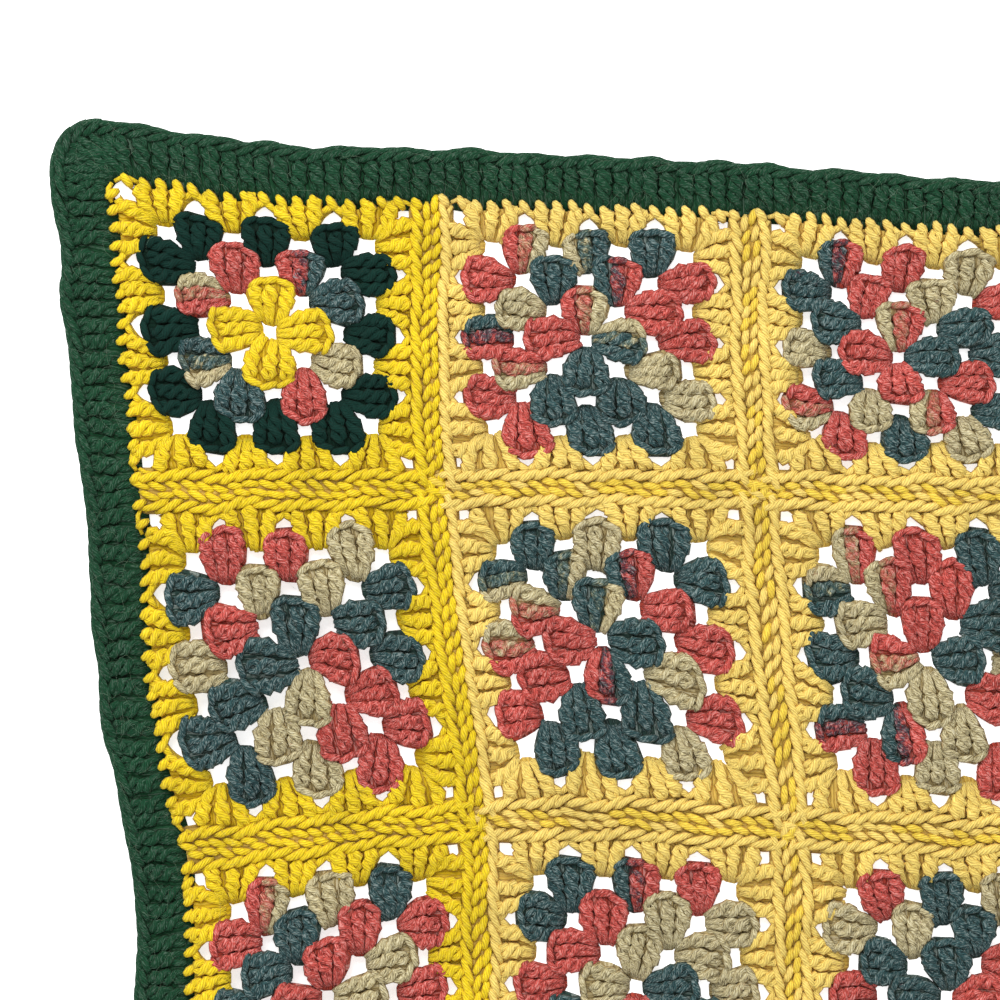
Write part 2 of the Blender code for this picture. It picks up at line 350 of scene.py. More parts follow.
class Pile:
    """Gathers strands and pads, and makes them one mesh."""

    def __init__(self):
        self.points, self.strand, self.dye = [], [], []
        self.faces, self.slots, self.count = {}, {}, 0

    def add_points(self, points, strand, dye):
        """Keeps points, and returns the number of the first."""
        first = self.count
        self.points.append(points.reshape(-1, 3))
        self.strand.append(strand.reshape(-1, 3))
        self.dye.append(np.broadcast_to(dye, points.shape[:-1]).reshape(-1))
        self.count += len(self.points[-1])
        return first

    def add_faces(self, corners, slot):
        """Keeps faces of one number of corners. slot is one number, or one for each face."""
        sides = corners.shape[-1]
        corners = corners.reshape(-1, sides)
        self.faces.setdefault(sides, []).append(corners)
        self.slots.setdefault(sides, []).append(np.broadcast_to(slot, len(corners)))

    def add_rings(self, rings, strand, dye, slot, closed=False):
        """Tubes from rings of points, shaped (tube, ring, point round it, 3).

        A closed tube's last ring joins its first. Any other tube has a face at each end."""
        tubes, along, sides = rings.shape[:3]
        first = self.add_points(rings, strand, dye)
        number = first + np.arange(tubes * along * sides).reshape(tubes, along, sides)
        slot = np.broadcast_to(slot, tubes)
        if closed:
            number = np.concatenate([number, number[:, :1]], 1)
        else:
            self.add_faces(number[:, -1], slot)
            self.add_faces(number[:, 0, ::-1], slot)
        after = np.roll(number, -1, 2)
        walls = np.stack([number[:, :-1], after[:, :-1], after[:, 1:], number[:, 1:]], -1)
        self.add_faces(walls, np.repeat(slot, walls[0].size // 4))

    def add_strands(self, paths, radii, dye, slot, section=TOP_SECTION):
        """Strands of yarn along grid paths, shaped (strand, point, 3)."""
        paths = lay(paths)
        heading = np.gradient(paths, axis=1)
        heading /= np.linalg.norm(heading, axis=-1, keepdims=True)
        side = np.cross(heading, (0.0, 0.0, 1.0))
        side /= np.linalg.norm(side, axis=-1, keepdims=True)
        above = np.cross(side, heading)
        cos, sin = np.cos(section)[:, None], np.sin(section)[:, None]
        rings = paths[:, :, None] + np.asarray(radii)[..., None, None] * (
            FLATNESS * cos * above[:, :, None] + sin * side[:, :, None])
        steps = np.linalg.norm(np.diff(paths, axis=1), axis=-1)
        length = np.concatenate([np.zeros((len(paths), 1)), np.cumsum(steps, 1)], 1)
        length += rng.uniform(0, 1, (len(paths), 1))    # each starts elsewhere in its yarn
        strand = np.empty(rings.shape)
        strand[..., 0], strand[..., 1] = cos[:, 0], sin[:, 0]
        strand[..., 2] = length[..., None]
        dye = np.broadcast_to(np.asarray(dye, float).reshape(-1, 1, 1), rings.shape[:3])
        self.add_rings(rings, strand, dye, slot)

    def build(self, name, materials):
        """The mesh object of everything gathered."""
        mesh = bpy.data.meshes.new(name)
        corners = [np.concatenate(found).ravel() for found in self.faces.values()]
        totals = [np.full(len(found) // sides, sides)
                  for sides, found in zip(self.faces, corners)]
        totals = np.concatenate(totals)
        corners = np.concatenate(corners).astype(np.int32)
        slots = np.concatenate([np.concatenate(found) for found in self.slots.values()])
        mesh.vertices.add(self.count)
        mesh.vertices.foreach_set("co", np.concatenate(self.points).ravel())
        mesh.loops.add(len(corners))
        mesh.loops.foreach_set("vertex_index", corners)
        mesh.polygons.add(len(totals))
        starts = np.concatenate([[0], np.cumsum(totals)[:-1]]).astype(np.int32)
        mesh.polygons.foreach_set("loop_start", starts)
        mesh.polygons.foreach_set("material_index", slots.astype(np.int32))
        mesh.update(calc_edges=True)
        mesh.shade_smooth()
        strand = mesh.attributes.new("strand", "FLOAT_VECTOR", "POINT")
        strand.data.foreach_set("vector", np.concatenate(self.strand).ravel())
        dye = mesh.attributes.new("dye", "FLOAT", "POINT")
        dye.data.foreach_set("value", np.concatenate(self.dye))
        for material in materials:
            mesh.materials.append(material)
        piece = bpy.data.objects.new(name, mesh)
        bpy.context.scene.collection.objects.link(piece)
        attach(piece, "root")
        return piece


# ---------------------------------------------------------------- stitches

# Single strands drawn as tables: forward, outward, height and radius along them, in millimetres
TOP_LOOP = ((-3.6, -1.2, 2.2, 0.7), (-2.1, -0.7, 3.5, 1.4), (0.0, 0.1, 3.9, 1.6),
            (2.1, 0.6, 3.5, 1.4), (3.6, 0.6, 2.2, 0.7))
# Where a cluster's three top loops lie: forward, outward and lean in degrees
TOP_LOOPS = ((-5.7, 6.8, -20), (0.0, 8.2, 3), (5.3, 6.9, 36))
TOOTH = ((1.9, -2.9, 2.2, 1.0), (1.1, -1.6, 3.4, 1.75), (0.1, -0.1, 3.9, 1.9),
         (-0.6, 1.0, 3.4, 1.5), (-0.9, 1.9, 2.4, 0.7))
APEX_STRAND = ((-0.4, 0.3, 2.6, 1.3), (1.9, -1.2, 3.0, 1.5), (4.4, -3.3, 2.3, 1.1))
CORNER_STRAND = ((-6.6, 0.0, 2.4, 0.8), (-3.6, 1.0, 2.9, 1.0), (-0.9, 0.7, 2.9, 1.0),
                 (1.4, -0.6, 2.4, 0.8))
RIDGE_LOOP = ((-6.2, -2.2, 2.2, 0.8), (-3.4, -1.5, 3.7, 1.35), (-0.3, -0.5, 4.3, 1.65),
              (2.8, 0.7, 4.1, 1.60), (5.4, 1.3, 2.8, 0.9))
BAND_STITCH = ((-3.9, 1.5, 1.8, 0.8), (-2.0, 0.75, 3.1, 1.5), (0.1, 0.0, 3.5, 1.7),
               (2.1, -0.7, 3.1, 1.45), (3.8, -1.4, 1.8, 0.7))
BORDER_LOOP = ((-4.4, -1.9, 1.9, 0.8), (-2.4, -1.0, 3.1, 1.5), (0.0, 0.0, 3.4, 1.75),
               (2.4, 0.9, 3.1, 1.5), (4.2, 1.2, 2.0, 0.8))
RIM_LOOP = ((-5.6, -0.3, 1.8, 0.9), (-2.6, -0.1, 2.0, 1.5), (0.4, 0.1, 2.0, 1.6),
            (3.2, 0.1, 2.0, 1.5), (5.6, 0.2, 1.8, 0.9))

# A stitch's post is two strands: legs side by side, then wound round each other. Along a post:
# share of its length, half the distance between the strands, radius and height, in millimetres
POST = ((0.00, 0.76, 0.90, 0.9), (0.14, 0.90, 1.02, 1.9), (0.28, 1.20, 1.20, 2.5),
        (0.40, 1.60, 1.62, 2.8), (0.50, 1.74, 1.84, 3.0), (0.60, 1.74, 1.86, 3.2),
        (0.70, 1.74, 1.86, 3.4), (0.80, 1.72, 1.84, 3.5), (0.90, 1.55, 1.60, 3.4),
        (1.00, 1.15, 0.85, 2.7))
BORDER_POST = ((0.00, 1.30, 0.80, 0.9), (0.15, 1.45, 1.30, 2.1), (0.29, 1.50, 1.50, 2.7),
               (0.40, 1.70, 1.75, 3.0), (0.50, 1.80, 1.90, 3.1), (0.60, 1.80, 1.90, 3.1),
               (0.70, 1.80, 1.90, 3.1), (0.80, 1.80, 1.85, 3.0), (0.90, 1.65, 1.60, 2.9),
               (1.00, 1.30, 1.00, 2.4))
# A broader strand runs straight under them: share, radius and height
CORE = ((0.04, 1.2, 1.2), (0.34, 2.1, 2.0), (0.72, 2.6, 2.1), (1.00, 2.1, 1.7))
WOUND_FROM = 0.28
CROSSING = 0.7    # below 1, the strands lie longer side by side and cross more steeply
# Where a cluster's outer posts pass: sideways and outward at the base, halfway and at the top
MIDDLE_POST = ((2.7, -9.8), (5.5, -1.8), (5.8, 6.2))
LAST_POST = ((3.0, -9.8), (5.8, -3.0), (7.2, 3.6))
CORNER_REACH = (0.3, 2.0, 1.7)    # how far more the post next to a square's corner leans to it
BORDER_GROWTH = 1.6               # how much longer a last round's posts are at the border
CLUSTER_OUT = 0.8                 # how far outward of its lattice point a cluster sits
POST_PLACES = (0, 0.5, 1)         # shares of a post's length at its base, halfway and at its top
MIDDLE_REACH = 0.3                # of the corner's reach, for a cluster's middle post
WOUND_RISE = 0.42                 # how far a wound strand rises, as a share of its way aside

# How the hand varies from stitch to stitch, as standard deviations. Distances in millimetres
CLUSTER_ASIDE = 0.45
CLUSTER_LEAN = 5           # degrees
CLUSTER_SIZE = 0.045       # of the cluster's size
SIZE_RANGE = (0.90, 1.10)  # the smallest and the largest
POST_ASIDE = 0.2
POST_TURNS = 0.10          # of a post's turns
POST_START = 0.35          # radians
STRAND_ASIDE = 0.17
STRAND_HEIGHT = 0.14
STRAND_RADIUS = 0.05       # of a strand's radius
DYE_SHIFT = 0.02           # of the dyed yarn's run of colours


class Frames:
    """Places on the grid, each with a forward and an outward direction.

    Where these are longer than 1, the stitches are larger."""

    def __init__(self, place, outward):
        self.place = np.asarray(place, float)
        self.outward = np.asarray(outward, float)
        self.forward = np.stack([self.outward[:, 1], -self.outward[:, 0]], -1)

    def __len__(self):
        return len(self.place)

    def at(self, forward, outward, lean=0.0):
        """Frames moved forward and outward in millimetres, and leaned forward by degrees."""
        forward, outward = np.broadcast_arrays(forward, outward)
        place = (self.place + np.reshape(forward, (-1, 1)) * MM * self.forward
                 + np.reshape(outward, (-1, 1)) * MM * self.outward)
        turn = np.radians(np.broadcast_to(lean, len(self)))[:, None]
        return Frames(place, np.cos(turn) * self.outward + np.sin(turn) * self.forward)

    def loosened(self):
        """The same, each drawn a little aside, turned and sized by the hand's tension."""
        count = len(self)
        frames = self.at(rng.normal(0, CLUSTER_ASIDE, count), rng.normal(0, CLUSTER_ASIDE, count),
                         rng.normal(0, CLUSTER_LEAN, count))
        size = rng.normal(1, CLUSTER_SIZE, count)[:, None].clip(*SIZE_RANGE)
        return Frames(frames.place, frames.outward * size)

    def strands(self, table):
        """The table drawn at each frame: paths and radii."""
        table = np.array(table)
        count = len(self)
        flat = (self.place[:, None] + table[:, :1] * MM * self.forward[:, None]
                + table[:, 1:2] * MM * self.outward[:, None])
        flat = flat + rng.normal(0, STRAND_ASIDE * MM, (count, 1, 2))
        height = table[:, 2] * MM + rng.normal(0, STRAND_HEIGHT * MM, (count, 1))
        fat = bpy.context.scene.crochet_stitches.fatness
        radius = table[:, 3] * MM * fat * rng.normal(1, STRAND_RADIUS, (count, 1))
        return np.concatenate([flat, height[..., None]], -1), radius


def post_line(knots, s):
    """Where a post lies at shares s of its length, and its heading there."""
    base, middle, top = (knot[:, None] for knot in knots)
    s = s[:, None]
    line = 2 * (s - 0.5) * (s - 1) * base - 4 * s * (s - 1) * middle + 2 * s * (s - 0.5) * top
    heading = (4 * s - 3) * base + (4 - 8 * s) * middle + (4 * s - 1) * top
    return line, heading / np.linalg.norm(heading, axis=-1, keepdims=True)


def post_strands(knots, shape, turns):
    """The two wound strands of a post through each three grid places: paths and radii."""
    count = len(knots[0])
    s, spread, radius, height = np.array(shape).T
    spread, radius, height = spread * MM, radius * MM, height * MM
    line, heading = post_line(knots, s)
    sideways = np.stack([heading[..., 1], -heading[..., 0]], -1)
    wound = np.clip((s - WOUND_FROM) / (1 - WOUND_FROM), 0, 1)
    phase = math.tau * wound * turns * rng.normal(1, POST_TURNS, (count, 1))
    phase = phase + rng.normal(0, POST_START, (count, 1))
    height = height + rng.normal(0, STRAND_HEIGHT * MM, (count, 1))
    fat = bpy.context.scene.crochet_stitches.fatness
    radius = radius * fat * rng.normal(1, STRAND_RADIUS, (2 * count, 1))
    paths = []
    for half in (0, math.pi):
        swing = np.cos(phase + half)
        swing = spread * np.sign(swing) * abs(swing) ** CROSSING
        flat = line + sideways * swing[..., None]
        rise = WOUND_RISE * spread * np.sin(phase + half) * (wound > 0)
        paths.append(np.concatenate([flat, (height + rise)[..., None]], -1))
    return np.concatenate(paths), radius


def core_strands(knots):
    """The broad straight strand under each post: paths and radii."""
    s, radius, height = np.array(CORE).T
    line, _ = post_line(knots, s)
    height = np.broadcast_to(height[:, None] * MM, (*line.shape[:2], 1))
    return np.concatenate([line, height], -1), np.tile(radius * MM, (len(line), 1))


def add_cluster(pile, frames, shape, dye, slot, corner=0, growth=0.0):
    """Three posts at each frame. dye has a column for each of them.

    corner is 1 or -1 where a corner of the square lies forward or back of the cluster, else 0.
    growth is how much longer the posts are."""
    turns = bpy.context.scene.crochet_stitches.post_turns
    slot = np.tile(slot, 2)
    for turn in (-1, 0, 1):
        knots = []
        for (aside, out), reach, grown in zip(shape, CORNER_REACH, POST_PLACES):
            share = np.where(corner == turn, 1, MIDDLE_REACH * (turn == 0)) * corner
            placed = frames.at(turn * aside + share * reach, out + grown * growth)
            knots.append(placed.place + rng.normal(0, POST_ASIDE * MM, (len(frames), 2)))
        shade = np.tile(dye[:, turn + 1], 2)
        shade = shade + rng.normal(0, DYE_SHIFT, len(shade))
        pile.add_strands(*post_strands(knots, POST, turns), shade, slot)
        pile.add_strands(*core_strands(knots), dye[:, turn + 1], slot[:len(frames)])


def cluster_places(round_number):
    """Every cluster of one round, clockwise: its place in its square, and its outward direction."""
    found = []
    for side in SIDES:
        outward = np.array(side, float)
        forward = np.array((side[1], -side[0]), float)
        for step in range(1 - round_number, round_number, 2):
            place = (step * forward + round_number * outward) * ROUND_PITCH
            place = place + CLUSTER_OUT * MM * outward
            found.append((place, outward, step))
    return found


def square_middle(column, row):
    """The middle of a square on the grid."""
    return np.array(((column + 0.5) * SQUARE, -(row + 0.5) * SQUARE))


def charted_rounds():
    """For each square, the letters of its three middle rounds. Uncharted ones run on at random."""
    chart = {(column, row): rounds for column, row, *rounds in CLUSTER_CHART}
    chance = np.random.default_rng(RUN_SEED)
    for row in range(ROWS):
        for column in range(COLUMNS):
            run = []
            colour = chance.integers(3)
            while len(run) < ROUND_SPANS[-1][-1]:
                run += ["TSC"[colour % 3]] * chance.integers(1, LONGEST_RUN + 1)
                colour += 1 + (chance.random() < SKIPPED_COLOUR)
            rounds = [" ".join(run[start:end]) for start, end in ROUND_SPANS]
            chart.setdefault((column, row), rounds)
    return chart


def dyes(token):
    """Where the three stitches of a cluster lie in the dyed yarn's run of colours."""
    first, last = DYE_PLACES[token[0]], DYE_PLACES[token[-1]]
    if {token[0], token[-1]} == {"T", "C"}:
        first, last = (1.0 if place == 0 else place for place in (first, last))
    return np.linspace(first, last, 3)


def wants_golden(column):
    """The first column's yellow is golden, the others' is butter."""
    return column == 0


# ---------------------------------------------------------------- materials

def node(tree, kind, at, **values):
    """A new node with its properties set, and its inputs where a value's name is one."""
    made = tree.nodes.new(kind)
    made.location = (at[0] * 200, at[1] * 200)
    for name, value in values.items():
        if hasattr(made, name):
            setattr(made, name, value)
        else:
            made.inputs[name.replace("_", " ")].default_value = value
    return made


def feed(tree, term, socket):
    """Links a socket to the term, or sets its value to it."""
    if isinstance(term, bpy.types.NodeSocket):
        tree.links.new(term, socket)
    else:
        socket.default_value = term


def maths(tree, at, operation, *terms):
    """A Math node over numbers and sockets."""
    made = node(tree, "ShaderNodeMath", at, operation=operation)
    for socket, term in zip(made.inputs, terms):
        feed(tree, term, socket)
    return made.outputs[0]


def point(tree, at, *terms):
    """A point from up to three sockets."""
    made = node(tree, "ShaderNodeCombineXYZ", at)
    for socket, term in zip(made.inputs, terms):
        feed(tree, term, socket)
    return made.outputs[0]


def noise(tree, at, where, **values):
    """Noise at a point, from 0 to 1."""
    made = node(tree, "ShaderNodeTexNoise", at, **values)
    tree.links.new(where, made.inputs["Vector"])
    return made.outputs["Fac"]


def ranged(tree, at, term, start, end, low=0.0, high=1.0):
    """A value that goes from low to high while the term goes from start to end."""
    made = node(tree, "ShaderNodeMapRange", at, From_Min=start, From_Max=end,
                To_Min=low, To_Max=high)
    tree.links.new(term, made.inputs["Value"])
    return made.outputs[0]


def blend_colours(tree, at, kind, share, first, second):
    """A Mix node over colours. Only a multiplied colour may pass 1."""
    made = node(tree, "ShaderNodeMix", at, data_type="RGBA", blend_type=kind)
    made.clamp_result = kind != "MULTIPLY"
    for number, term in ((0, share), (6, first), (7, second)):
        feed(tree, term, made.inputs[number])
    return made.outputs[2]


# How plied yarn looks
GROOVE_DRIFT = 2.6            # how far the grooves wander, in radians of the plies' turn
PLY_ROUNDNESS = 0.8           # below 1, a ply is broader than the groove beside it
FIBRE_CELLS = (0.42, 480)     # the noise's, for each radian of the plies' turn and each metre
FLECK_CELLS = (0.36, 560)
FIBRE_RELIEF = 0.7            # the fibres' height, as a share of the plies'
# Where a tone starts and ends, and the share of the colour that it leaves there
FIBRE_TONES = (0.25, 0.75, 0.62, 1.36)   # noise
CLOUD_TONES = (0.30, 0.70, 0.86, 1.12)   # noise
# The cloth's painted shade makes the colour darker where the cloth lies under the strands
CLOTH_PAINTED_SHADE = (0.00, 0.50, 0.52, 1.00)   # the cloth's shade. It is 1 on a strand
# Where a tint or a fleck comes in, and where it is whole
SIDE_PAINTED_SHADE_RANGE = (0.75, -0.10)                # height round a strand, which is 1 on its top
PALE_FLECK_AND_HIGHLIGHT_RANGE = (0.53, 0.63)                # noise
DARK_FLECK_SHADE_RANGE = (0.48, 0.38)                # noise
# Tints multiply the colour: painted shade in the ply grooves, a warm painted shade low on a
# strand's sides, and painted shade in the dark flecks. The pale fleck, partly a painted highlight,
# is added to it
GROOVE_PAINTED_SHADE = (0.60, 0.46, 0.36, 1)
SIDE_PAINTED_SHADE_TINT = (1.0, 0.84, 0.55, 1)
DARK_FLECK_SHADE_TINT = (0.36, 0.34, 0.36, 1)
PALE_FLECK_AND_HIGHLIGHT = (0.17, 0.18, 0.17, 1)


def plied_yarn():
    """The node group that draws plies, fibres and flecks along a strand."""
    name = "Plied Yarn"
    if name in bpy.data.node_groups:
        return bpy.data.node_groups[name]
    tree = bpy.data.node_groups.new(name, "ShaderNodeTree")
    sockets = (("Colour", "INPUT", "NodeSocketColor"), ("Groove", "INPUT", "NodeSocketFloat"),
               ("Fleck", "INPUT", "NodeSocketFloat"), ("Ply Lines", "INPUT", "NodeSocketFloat"),
               ("Lead", "INPUT", "NodeSocketFloat"), ("Colour", "OUTPUT", "NodeSocketColor"),
               ("Height", "OUTPUT", "NodeSocketFloat"))
    for label, way, kind in sockets:
        tree.interface.new_socket(name=label, in_out=way, socket_type=kind)
    given = node(tree, "NodeGroupInput", (-8, 0)).outputs
    place = node(tree, "ShaderNodeTexCoord", (-8, -6)).outputs["Object"]

    # The strand attribute: how high and how far aside round the strand, and how far along it. On
    # cloth, its first part is instead the cloth's painted shade
    strand = node(tree, "ShaderNodeAttribute", (-8, -2), attribute_name="strand")
    parts = node(tree, "ShaderNodeSeparateXYZ", (-7, -2))
    tree.links.new(strand.outputs["Vector"], parts.inputs[0])
    high, aside, along = parts.outputs

    # The plies' turn, and the plies: 1 on top of one, and 0 in the groove beside it
    drift = noise(tree, (-6, -6), place, Scale=260, Detail=2)
    drift = maths(tree, (-5, -6), "MULTIPLY", drift, GROOVE_DRIFT)
    around = maths(tree, (-6, -2), "ARCTAN2", aside, high)
    around = maths(tree, (-5, -2), "MULTIPLY", around, given["Ply Lines"])
    turn = maths(tree, (-6, -3), "DIVIDE", along, given["Lead"])
    turn = maths(tree, (-5, -3), "MULTIPLY", turn, math.tau)
    turn = maths(tree, (-4, -2), "ADD", around, turn)
    turn = maths(tree, (-3, -2), "ADD", turn, drift)
    ply = maths(tree, (-2, -2), "MULTIPLY", turn, 0.5)
    ply = maths(tree, (-1, -2), "COSINE", ply)
    ply = maths(tree, (0, -2), "ABSOLUTE", ply)
    ply = maths(tree, (1, -2), "POWER", ply, PLY_ROUNDNESS)

    # Fibres and flecks drawn out along the plies, and clouds
    fibre_turn = maths(tree, (-4, -4), "MULTIPLY", turn, FIBRE_CELLS[0])
    fibre_length = maths(tree, (-4, -5), "MULTIPLY", along, FIBRE_CELLS[1])
    fibre_place = point(tree, (-3, -4), fibre_turn, fibre_length)
    fibres = noise(tree, (-2, -4), fibre_place, Scale=1.0, Detail=4, Roughness=0.75)
    fleck_turn = maths(tree, (-4, -7), "MULTIPLY", turn, FLECK_CELLS[0])
    fleck_length = maths(tree, (-4, -8), "MULTIPLY", along, FLECK_CELLS[1])
    fleck_place = point(tree, (-3, -7), fleck_turn, fleck_length, drift)
    flecks = noise(tree, (-2, -7), fleck_place, Scale=1.3, Detail=2, Roughness=0.6)
    clouds = noise(tree, (-2, -9), place, Scale=55, Detail=3, Roughness=0.6)

    # The colour: painted shade in the ply grooves, uneven with the fibres and clouds, painted shade
    # on the cloth where it lies under the strands, and a warm painted shade low on a strand's sides
    # and on the cloth
    shade = maths(tree, (2, -2), "SUBTRACT", 1.0, ply)
    shade = maths(tree, (3, -2), "MULTIPLY", shade, given["Groove"])
    colour = blend_colours(tree, (4, 0), "MULTIPLY", shade, given["Colour"], GROOVE_PAINTED_SHADE)
    on_strand = node(tree, "ShaderNodeVectorMath", (-5, -1), operation="LENGTH")
    tree.links.new(point(tree, (-6, -1), high, aside), on_strand.inputs[0])
    tone = ranged(tree, (-1, -4), fibres, *FIBRE_TONES)
    cloud_tone = ranged(tree, (-1, -9), clouds, *CLOUD_TONES)
    cloth_painted_shade = ranged(tree, (-4, -1), on_strand.outputs["Value"], *CLOTH_PAINTED_SHADE)
    tone = maths(tree, (0, -4), "MULTIPLY", tone, cloud_tone)
    tone = maths(tree, (1, -4), "MULTIPLY", tone, cloth_painted_shade)
    colour = blend_colours(tree, (5, 0), "MULTIPLY", 1.0, colour, tone)
    # A warm painted shade low on a strand's sides, where the strands shade each other, and on the
    # cloth
    low = ranged(tree, (-5, 1), high, *SIDE_PAINTED_SHADE_RANGE)
    colour = blend_colours(tree, (6, 0), "MULTIPLY", low, colour, SIDE_PAINTED_SHADE_TINT)

    # The flecks: pale ones, which are the yarn's own paler fibres and also painted highlights where
    # fibres catch the light, and dark ones, which are painted shade between the fibres and also the
    # yarn's own darker fibres
    pale_and_highlight_share = ranged(tree, (-1, -7), flecks, *PALE_FLECK_AND_HIGHLIGHT_RANGE)
    pale_and_highlight_share = maths(tree, (0, -7), "MULTIPLY", pale_and_highlight_share, given["Fleck"])
    pale = blend_colours(tree, (7, -1), "ADD", 1.0, colour, PALE_FLECK_AND_HIGHLIGHT)
    colour = blend_colours(tree, (8, 0), "MIX", pale_and_highlight_share, colour, pale)
    dark_fleck_shade_share = ranged(tree, (-1, -8), flecks, *DARK_FLECK_SHADE_RANGE)
    dark_fleck_shade_share = maths(tree, (0, -8), "MULTIPLY", dark_fleck_shade_share, given["Fleck"])
    colour = blend_colours(tree, (9, 0), "MULTIPLY", dark_fleck_shade_share, colour, DARK_FLECK_SHADE_TINT)

    # The relief
    ply = maths(tree, (7, -4), "MULTIPLY", ply, given["Groove"])
    height = maths(tree, (7, -5), "MULTIPLY", fibres, FIBRE_RELIEF)
    height = maths(tree, (8, -4), "ADD", height, ply)
    result = node(tree, "NodeGroupOutput", (10, 0))
    tree.links.new(colour, result.inputs["Colour"])
    tree.links.new(height, result.inputs["Height"])
    return tree


DYE_MOTTLE = 0.42    # how far the dyes' places wander, as a share of their run
# Where two dyes run into each other
TEAL_TO_SAGE = (0.10, 0.14, 0.10)
SAGE_TO_CORAL = (0.44, 0.17, 0.10)
CORAL_TO_TEAL = (0.10, 0.030, 0.045)


def dyed_colour(tree):
    """The dyed yarn's colour where a point lies in its run: teal, sage, coral, teal."""
    yarn = bpy.context.scene.crochet_yarn
    dye = node(tree, "ShaderNodeAttribute", (-7, 2), attribute_name="dye")
    place = node(tree, "ShaderNodeTexCoord", (-8, 3)).outputs["Object"]
    mottle = noise(tree, (-7, 3), place, Scale=380, Detail=4, Roughness=0.8)
    mottle = maths(tree, (-6, 3), "SUBTRACT", mottle, 0.5)
    mottle = maths(tree, (-5, 3), "MULTIPLY", mottle, DYE_MOTTLE)
    share = maths(tree, (-5, 2), "ADD", dye.outputs["Fac"], mottle)
    share = maths(tree, (-4, 2), "FRACT", share)
    ramp = node(tree, "ShaderNodeValToRGB", (-3, 2))
    stops = (
        # share of the run, colour. The run starts and ends in teal
        (0.13, yarn.teal), (0.20, TEAL_TO_SAGE), (0.25, yarn.sage), (0.41, yarn.sage),
        (0.49, SAGE_TO_CORAL), (0.56, yarn.coral), (0.78, yarn.coral), (0.86, CORAL_TO_TEAL),
        (0.92, yarn.teal),
    )
    points = ramp.color_ramp.elements
    for end in points:
        end.color = (*yarn.teal, 1)
    for at, colour in stops:
        points.new(at).color = (*colour, 1)
    tree.links.new(share, ramp.inputs[0])
    return ramp.outputs[0]


def yarn_material(name, dye, groove, fleck, sheen, bump):
    """A yarn finish. dye names its colour, and is None for the dyed yarn's run of colours."""
    if name in bpy.data.materials:
        return bpy.data.materials[name]
    yarn = bpy.context.scene.crochet_yarn
    material = bpy.data.materials.new(name)
    material.use_nodes = True
    tree = material.node_tree
    shader = tree.nodes["Principled BSDF"]
    shader.inputs["Roughness"].default_value = 0.85
    shader.inputs["Specular IOR Level"].default_value = 0.15
    shader.inputs["Sheen Weight"].default_value = sheen
    shader.inputs["Sheen Roughness"].default_value = 0.45
    plies = node(tree, "ShaderNodeGroup", (-2, 0), node_tree=plied_yarn(), Groove=groove,
                 Fleck=fleck, Ply_Lines=yarn.plies, Lead=yarn.lead)
    if dye is None:
        tree.links.new(dyed_colour(tree), plies.inputs["Colour"])
    else:
        colour = (*getattr(yarn, dye), 1)
        plies.inputs["Colour"].default_value = colour
        material.diffuse_color = colour
    tree.links.new(plies.outputs["Colour"], shader.inputs["Base Color"])
    relief = node(tree, "ShaderNodeBump", (-1, -2), Strength=bump, Distance=0.5 * MM)
    tree.links.new(plies.outputs["Height"], relief.inputs["Height"])
    tree.links.new(relief.outputs[0], shader.inputs["Normal"])
    return material


YARNS = (
    # name, dye, groove, fleck, sheen, bump. groove is how deep the ply grooves' painted shade and
    # relief are
    ("plied_golden", "golden", 0.65, 0.20, 0.06, 0.65),
    ("plied_butter", "butter", 0.65, 0.25, 0.08, 0.65),
    ("plied_honey", "honey", 0.65, 0.25, 0.08, 0.65),
    ("plied_dyed", None, 0.45, 1.0, 0.04, 0.9),
    ("plied_night_green", "night_green", 0.5, 0.03, 0.01, 0.8),
    ("plied_bottle_green", "bottle_green", 0.5, 0.30, 0.01, 1.0),
)
GOLDEN, BUTTER, HONEY, DYED, NIGHT, BOTTLE = range(len(YARNS))


def yarns():
    """Every yarn finish, in the order of the numbers above."""
    return [yarn_material(*row) for row in YARNS]


# ---------------------------------------------------------------- pieces

# The back half of a cluster's pad, from its base: forward and outward, in millimetres
HALF_PAD = ((-1.6, -10.7), (-4.0, -9.4), (-6.3, -6.2), (-8.2, -2.2), (-9.2, 3.2), (-8.0, 7.6),
            (-3.2, 9.6))
HALF_LAST_PAD = ((-1.7, -10.7), (-4.0, -9.4), (-5.9, -6.6), (-7.8, -3.2), (-9.2, -0.6),
                 (-10.8, 1.2), (-12.2, 2.2), (-6.0, 3.6))
# The rings of a pad: share of its outline, and height in millimetres
PAD_RINGS = ((1.0, 0.3), (0.95, 1.8), (0.78, 3.1))
LAST_PAD_RINGS = ((1.0, 0.3), (0.96, 1.7), (0.84, 2.6))
PAD_LIFT = ((-10, -1), (0.45, 1.0))   # outward places, and the share of the height there
PAD_DYE_REACH = 6                     # how far forward or back a pad has its outer stitches' dye
# The cloth's painted shade, where it lies deep in the strands' shade. It is the first part of its
# strand attribute. Less is darker
PAD_PAINTED_SHADE = 0.2
STRIP_PAINTED_SHADE = 0.12
BORDER_PAINTED_SHADE = 0.45

# The sections of the strips under the seams and of the border's ground: share of half the width
# towards an edge, which is the border's outer one, and height in millimetres
STRIP_RINGS = ((-0.9, 0.3), (-1.0, 1.1), (-0.75, 2.6), (0.75, 2.6), (1.0, 1.1), (0.9, 0.3))
BORDER_RINGS = ((-0.95, 0.3), (-1.0, 0.9), (-0.60, 2.1), (-0.30, 2.6), (0.80, 2.7), (1.0, 0.9),
                (0.95, 0.3))
STRIP_HALF = 8.3 * MM
STRIP_END = 6.0 * MM       # from the squares' edge to a strip's end
STRIP_STEPS = 10           # in each square
CROSSING_LIFT = 0.1 * MM   # how far a strip across lies over those that run down

